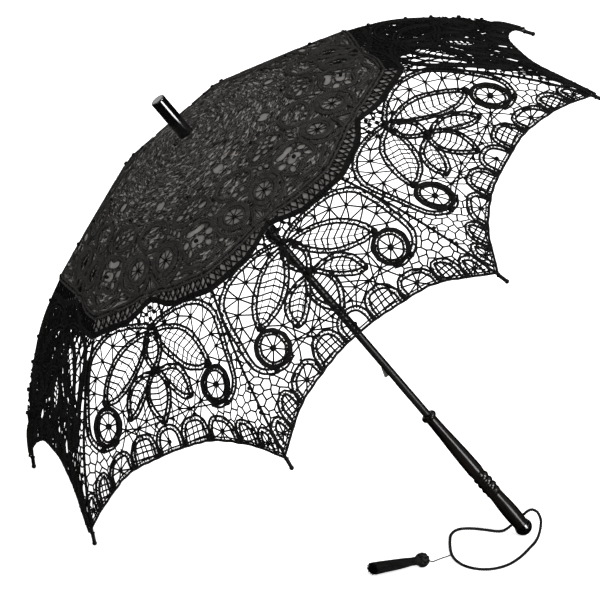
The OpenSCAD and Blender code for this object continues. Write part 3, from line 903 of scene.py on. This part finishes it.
hard = {
    "shaft_black": hard_material(
        "shaft_enamel", (0.003, 0.0029, 0.0027), (0.009, 0.0086, 0.008), 0.36, Specular_IOR_Level=0.28
    ),
    "black_gloss": hard_material(
        "gloss_black", (0.001, 0.001, 0.001), (0.0025, 0.0025, 0.0025), 0.2, bump=0.02,
        Specular_IOR_Level=0.3, Coat_Weight=1.0, Coat_Roughness=0.1, Coat_IOR=1.7
    ),
    "frame_black": hard_material(
        "frame_enamel", (0.003, 0.0029, 0.0028), (0.01, 0.0096, 0.0092), 0.4, 12, 220, Specular_IOR_Level=0.25
    ),
    "tip_black": hard_material(
        "tip_enamel", (0.001, 0.001, 0.001), (0.004, 0.0038, 0.0036), 0.5, Specular_IOR_Level=0.12
    ),
    "bare_steel": hard_material(
        "bare_steel", (0.3, 0.295, 0.29), (0.46, 0.45, 0.44), 0.3, 8, 300, Metallic=1.0
    ),
    "handle_lacquer": hard_material(
        "handle_lacquer", (0.001, 0.0009, 0.0008), (0.006, 0.0042, 0.0032), 0.38, 6, 260,
        Specular_IOR_Level=0.2, Coat_Weight=0.3, Coat_Roughness=0.07
    ),
}
slots = {part["node"]: part["material_slot"] for part in frame["record"]["subparts"]}
for node, obj in frame["nodes"].items():
    mat = hard["tip_black"] if node.startswith("rib_tip") else hard.get(slots.get(node))
    if mat:
        for k in range(len(obj.material_slots)):
            obj.material_slots[k].material = mat
        if not obj.material_slots:
            obj.data.materials.append(mat)


# -------------------- camera, light and floor


def add_camera():
    """A long lens from far off, with a roll."""
    az, el, roll = CAMERA_TURN, CAMERA_RISE, CAMERA_ROLL
    right = np.array([math.cos(az), math.sin(az), 0])
    back = np.array([math.sin(az) * math.cos(el), -math.cos(az) * math.cos(el), math.sin(el)])
    up = np.cross(back, right)
    across = math.cos(roll) * right + math.sin(roll) * up
    upward = math.cos(roll) * up - math.sin(roll) * right
    place = FOOT - VIEW_LEFT * across + VIEW_UP * upward + CAMERA_AWAY * back
    data = bpy.data.cameras.new("camera")
    data.lens = CAMERA_LENS
    data.sensor_width = 36
    data.clip_start = 0.5
    data.clip_end = 200
    obj = bpy.data.objects.new("camera", data)
    m = np.eye(4)
    m[:3, :4] = np.column_stack([across, upward, back, place])
    obj.matrix_world = Matrix(m.tolist())
    scene.collection.objects.link(obj)
    scene.camera = obj


add_camera()


def lamp(name, toward, strength, angle):
    """A soft light so far away that it lights the whole floor evenly."""
    data = bpy.data.lights.new(name, "SUN")
    data.energy = strength
    data.angle = math.radians(angle)
    obj = bpy.data.objects.new(name, data)
    obj.rotation_euler = Vector(toward).to_track_quat("Z", "Y").to_euler()
    scene.collection.objects.link(obj)


lamp("overhead", (-0.1, 0.1, 1.0), 1.0, 70)
lamp("key", (0.41, -0.53, 0.73), 2.2, 16)
lamp("strip", (0.578, -0.813, 0.064), 1.8, 22)
lamp("fill", (-0.87, -0.3, 0.4), 0.5, 40)
lamp("rear", (-0.242, 0.937, 0.252), 0.12, 24)
world = bpy.data.worlds.new("studio")
world.use_nodes = True
world.node_tree.nodes["Background"].inputs[0].default_value = (1, 1, 1, 1)
world.node_tree.nodes["Background"].inputs[1].default_value = 0.22
world.cycles_visibility.glossy = False
scene.world = world
scene.view_settings.view_transform = "Standard"


def add_floor():
    """White paper that glows, so that shadows stay faint."""
    size = 30.0
    verts = [(-size, -size, 0), (size, -size, 0), (size, size, 0), (-size, size, 0)]
    mat, shader = new_material("floor_paper", 0.9)
    tone = noise(mat, places(mat), 2, 3)
    colour = mixed(mat, ranged(mat, tone, 0.3, 0.7), (0.93, 0.93, 0.925), (0.95, 0.95, 0.948))
    mat.node_tree.links.new(colour, shader.inputs["Base Color"])
    shader.inputs["Emission Color"].default_value = (1, 1, 1, 1)
    shader.inputs["Emission Strength"].default_value = 0.75
    obj = mesh_piece("floor", verts, [(0, 1, 2, 3)], mat)
    obj.visible_glossy = False


add_floor()

# -------------------- cords and tassel

# Diameters, routes and the steps they are drawn in, and for each twist the strands' radius, their
# distance from its middle and their pitch. All in mm.
CORD_ROUTE = [
    (251.6, 0, 10.4), (248, 0, 6.8), (243, 1, 3.2), (236, 3, 1.8), (226, 6, 1.7), (212, 8, 1.7),
    (199, 5, 1.7), (188, -5, 1.7), (178, -24, 1.7), (170, -50, 1.7), (163, -78, 1.7), (158, -104, 1.7),
    (157, -126, 1.7), (161, -144, 1.7), (171, -154, 1.7), (185, -154, 1.7), (201, -144, 1.7),
    (217, -127, 1.7), (232, -105, 1.7), (246, -81, 1.7), (259, -56, 1.7), (270, -36, 2.5), (278, -20, 6),
    (282, -10, 12), (283, -4, 19.5), (279, -1, 27), (272.5, 0, 29.5), (267.4, 0, 27.1), (263.8, 0, 23.3),
]
CORD_STEP = 0.9
CORD_STRAND, CORD_LAY, CORD_PITCH = 0.95, 0.82, 8.5
CORE_STRAND = 0.8
THREAD_STEP = 0.5
PLY, PLY_LAY, PLY_PITCH = 0.42, 0.4, 4.0
THREAD_ROUTE = [
    (157, -105, 1.7), (151, -110, 1), (144, -117, 1), (136, -126, 1), (128, -136, 1.6),
    (121.5, -144.5, 4.6), (116, -151, 7.6), (110, -156, 8.2), (102, -161.6, 8.3), (92, -168.6, 8.4),
    (82, -175.6, 8.5),
]

# Tassel, in mm: the ball's middle and radius, the skirt's length, heading and the height of its end's
# middle, the radii of the ball's cord, the silk and the wrap, and the wrap's turns, pitch and radius
BALL = np.array([110.0, -156.0, 8.2])
BALL_R = 8.2
SKIRT_LEN = 78.0
SKIRT_TURN = math.radians(215)
SKIRT_END = 9.1
WEAVE, SILK, WRAP = 1.05, 0.55, 0.65
WRAP_TURNS, WRAP_PITCH, WRAP_R = 6, 1.25, 4.1
GOLDEN_ANGLE = 2.399963


def framed(line):
    """Headings and two steady side directions along a line."""
    t = unit(np.gradient(line, axis=0))
    a = np.zeros_like(t)
    a[0] = unit(np.cross(t[0], [0, 1, 0.2]))
    for k in range(1, len(t)):
        a[k] = unit(a[k - 1] - a[k - 1].dot(t[k]) * t[k])
    return t, a, np.cross(t, a)


def twisted(line, reach_r, count, pitch, step=CORD_STEP):
    """Strands laid round a line."""
    line = spaced(line, step)
    _, a, b = framed(line)
    turn = 2 * math.pi * np.arange(len(line)) * step / pitch
    return [
        line + reach_r * (np.cos(turn + k)[:, None] * a + np.sin(turn + k)[:, None] * b)
        for k in np.arange(count) * 2 * math.pi / count
    ]


def free_strands(name, lines, radius, mat, sides=6):
    """A mesh of tubes along lines given in mm."""
    layer = Strands()
    for line in lines:
        layer.add(line, radius, 0, sides)
    t = layer.topology()
    p = t["at"][:, :3]
    guide = np.zeros_like(p)
    first = 0
    for line in lines:
        guide[first : first + len(line)] = framed(line)[1]
        first += len(line)
    verts, fibre = skin(t, p, guide, t["at"][:, 3])
    return mesh_piece(name, verts * MM, t["faces"], mat, fibre)


cord_line = smooth(CORD_ROUTE, CORD_STEP)
plies = twisted(cord_line, CORD_LAY, 3, CORD_PITCH)
wrist = free_strands("wrist_cord_strands", plies, CORD_STRAND, cord_mat)
plies = twisted(np.array([CORD_ROUTE[-1], CORD_ROUTE[0]], float), CORD_LAY, 3, CORD_PITCH)
core = free_strands("wrist_cord_in_handle", plies, CORE_STRAND, cord_mat)
thread_line = smooth(THREAD_ROUTE, THREAD_STEP)
plies = twisted(thread_line, PLY_LAY, 2, PLY_PITCH, THREAD_STEP)
hanger = free_strands("tassel_thread_strands", plies, PLY, cord_mat, 5)


def on_sphere(r, lat, lon):
    """Points at a latitude and a longitude."""
    return np.stack([r * np.cos(lat) * np.cos(lon), r * np.cos(lat) * np.sin(lon), r * np.sin(lat)], -1)


def ball_lines():
    """A woven knot: a cord laid double that winds round the ball, over and under itself."""
    leads, bights = 5, 8
    t = np.linspace(0, 2 * math.pi * leads, 520)
    lat = 1.22 * np.sin(bights * t / leads)
    r = BALL_R - 1.25 + 0.45 * np.sin(2 * bights * t / leads + 0.6)
    return [on_sphere(r, lat, t + shift) for shift in (-0.085, 0.085)]


def skirt_axes():
    """The skirt's heading, its side way and its up way."""
    rise = math.atan2(SKIRT_END - BALL_R, SKIRT_LEN)
    level = math.cos(rise)
    d = np.array([level * math.cos(SKIRT_TURN), level * math.sin(SKIRT_TURN), math.sin(rise)])
    side = unit(np.cross([0, 0, 1.0], d))
    return d, side, np.cross(d, side)


axis, side_way, up_way = skirt_axes()
turned = np.stack([side_way, up_way, axis])
head_lines = [BALL + line @ turned for line in ball_lines()]
head = free_strands("tassel_ball_weave", head_lines, WEAVE, silk_mat)


def ball_core(rows=15, around=24):
    """The dark ball under the weave."""
    lats, lons = np.linspace(-1.45, 1.45, rows), np.linspace(0, 2 * math.pi, around + 1)[:-1]
    lat, lon = np.meshgrid(lats, lons, indexing="ij")
    r = BALL_R - 1.9
    p = on_sphere(r, lat, lon).reshape(-1, 3)
    faces = ring_faces(np.arange(rows * around).reshape(rows, around))
    fibre = np.column_stack([p[:, 2], p[:, 0] / r, p[:, 1] / r])
    return mesh_piece("tassel_ball_core", (BALL + p @ turned) * MM, faces, silk_mat, fibre)


core_ball = ball_core()


def skirt_lines(count=96):
    """Silk strands from the neck, spreading and settling on the floor."""
    start, out = BALL + axis * (BALL_R - 0.9), []
    strand_rng = np.random.default_rng(11)
    for k in range(count):
        share = math.sqrt((k + 0.5) / count)
        angle = k * GOLDEN_ANGLE
        wave, phase = strand_rng.uniform(0.15, 0.5), strand_rng.uniform(0, 6.28)
        reach_k = SKIRT_LEN - 1.6 - strand_rng.uniform(0, 2.2)
        t = np.linspace(0, 1, 15)[:, None]
        spread = 3.3 + 5.2 * t**0.8
        a, b = share * math.cos(angle), share * math.sin(angle)
        line = start + axis * (reach_k * t) + side_way * (a * spread + wave * np.sin(9 * t + phase))
        line = line + up_way * (b * spread * (1 - 0.25 * t) - 1.1 * t + 0.3 * wave * np.sin(7 * t - phase))
        line[:, 2] = np.maximum(line[:, 2], 0.75)
        out.append(line)
    return out


skirt = free_strands("tassel_skirt_strands", skirt_lines(), SILK, silk_mat, 5)
neck_start = BALL + axis * (BALL_R - 0.6)
turns = np.linspace(0, 2 * math.pi * WRAP_TURNS, 150)
neck_line = (
    neck_start + axis * (turns[:, None] / (2 * math.pi) * WRAP_PITCH)
    + WRAP_R * (np.cos(turns)[:, None] * side_way + np.sin(turns)[:, None] * up_way)
)
neck = free_strands("tassel_neck_wrap", [neck_line], WRAP, cord_mat)

for obj, nodes in (
    (wrist, ["wrist_cord"]), (core, ["cord_core"]), (hanger, ["tassel_thread"]), (head, ["tassel_head"]),
    (skirt, ["tassel_skirt"]), (core_ball, []), (neck, []),
):
    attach(obj, "shaft_and_handle")
    if nodes:
        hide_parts(*nodes)

# -------------------- canopy

# Phases of each half gore's waves
seeds = np.random.default_rng(23).uniform(0, 2 * math.pi, (9, 2, 3))

# Openings in the ground: in the wheel and the petals, in the scroll's eye, and under the crosses
holes = [ellipse(*WHEEL, count=20)] + [ellipse(x, s, rx, ry, count=10) for x, s, rx, ry in PETALS]
holes.append(np.array([(-1, 193), (2, 197), (14, 216), (-1, 216)], float))
row_low = np.stack([edge_x, lining_edge(edge_x) - 7], 1)[8:]
row_high = np.stack([row_low[:, 0], np.interp(row_low[:, 0], row_top[:, 0], row_top[:, 1])], 1)
holes.append(np.vstack([row_high, row_low[::-1]]))


def strands(name, rib):
    """A layer's tubes on both halves of a gore, and the centre line's threads with the net."""
    halves = [strands_on_gore(layers[name], side, rib, seed) for side, seed in zip((1, -1), seeds[rib])]
    if name == "net":
        halves.append(strands_on_gore(layers["centre"], 1, rib, seeds[rib][0]))
    return joined(halves)


def sheets(rib, *form, **finish):
    """A sheet over both halves of a gore."""
    return joined([gore_sheet(side, rib, seed, *form, **finish) for side, seed in zip((1, -1), seeds[rib])])


MATERIALS = {
    "lace_tape": lace_mat, "lace_net": net_mat, "raised_cord": raised_lit_copy_mat, "hem_cord": lace_mat,
    "lace_ground": ground_mat, "lining": lining_mat,
}
for rib in RIBS:
    parts = {
        "lace_tape": strands("tape", rib),
        "lace_net": strands("net", rib),
        "raised_cord": strands("raised", rib),
        "hem_cord": strands("hem", rib),
        "lace_ground": compact(*sheets(rib, GROUND_LIFT, 44, 1.6, holes, relief=1.2, margin=4)),
        "lining": sheets(rib, LINING_LIFT, 10, 7.5),
    }
    for kind, (verts, faces, fibre) in parts.items():
        obj = mesh_piece(f"{kind}_{rib}", verts, faces, MATERIALS[kind], fibre)
        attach(obj, f"rib_arm_{rib}")
        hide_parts(f"canopy_{rib}")
        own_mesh(obj)


def apex_gather(rings=12, around=144, inner=8.7, outer_r=21.0, height=608.9, pleats=26):
    """The lace drawn together round the ferrule, in small pleats."""
    r = np.linspace(inner, outer_r, rings)
    a = np.linspace(0, 2 * math.pi, around + 1)[:-1]
    rr, aa = np.meshgrid(r, a, indexing="ij")
    f = (rr - r[0]) / (r[-1] - r[0])
    pleat = np.sin(pleats * aa + 1.1 * np.sin(3 * aa)) * (0.25 + 0.45 * np.sin(math.pi * f))
    u = height - 1.5 * f + 0.75 * pleat + 0.2 * np.sin(9 * f * math.pi + 5 * aa)
    r2 = rr + 0.8 * f * np.sin(17 * aa + 2)
    p = FOOT + MM * (
        (r2 * np.cos(aa))[..., None] * UPPER + (r2 * np.sin(aa))[..., None] * LEVEL + u[..., None] * SHAFT
    ).reshape(-1, 3)
    v = np.arange(rings * around).reshape(rings, around)
    w = np.roll(v, -1, axis=1)
    faces = np.stack([v[:-1], v[1:], w[1:], w[:-1]], -1).reshape(-1, 4)
    flat = np.column_stack([(aa * 15).ravel(), rr.ravel(), np.zeros(rr.size)])
    return mesh_piece("apex_gather", p, faces, ground_mat, flat)


gather = apex_gather()
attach(gather, "shaft_and_handle")
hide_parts("apex_rosette")
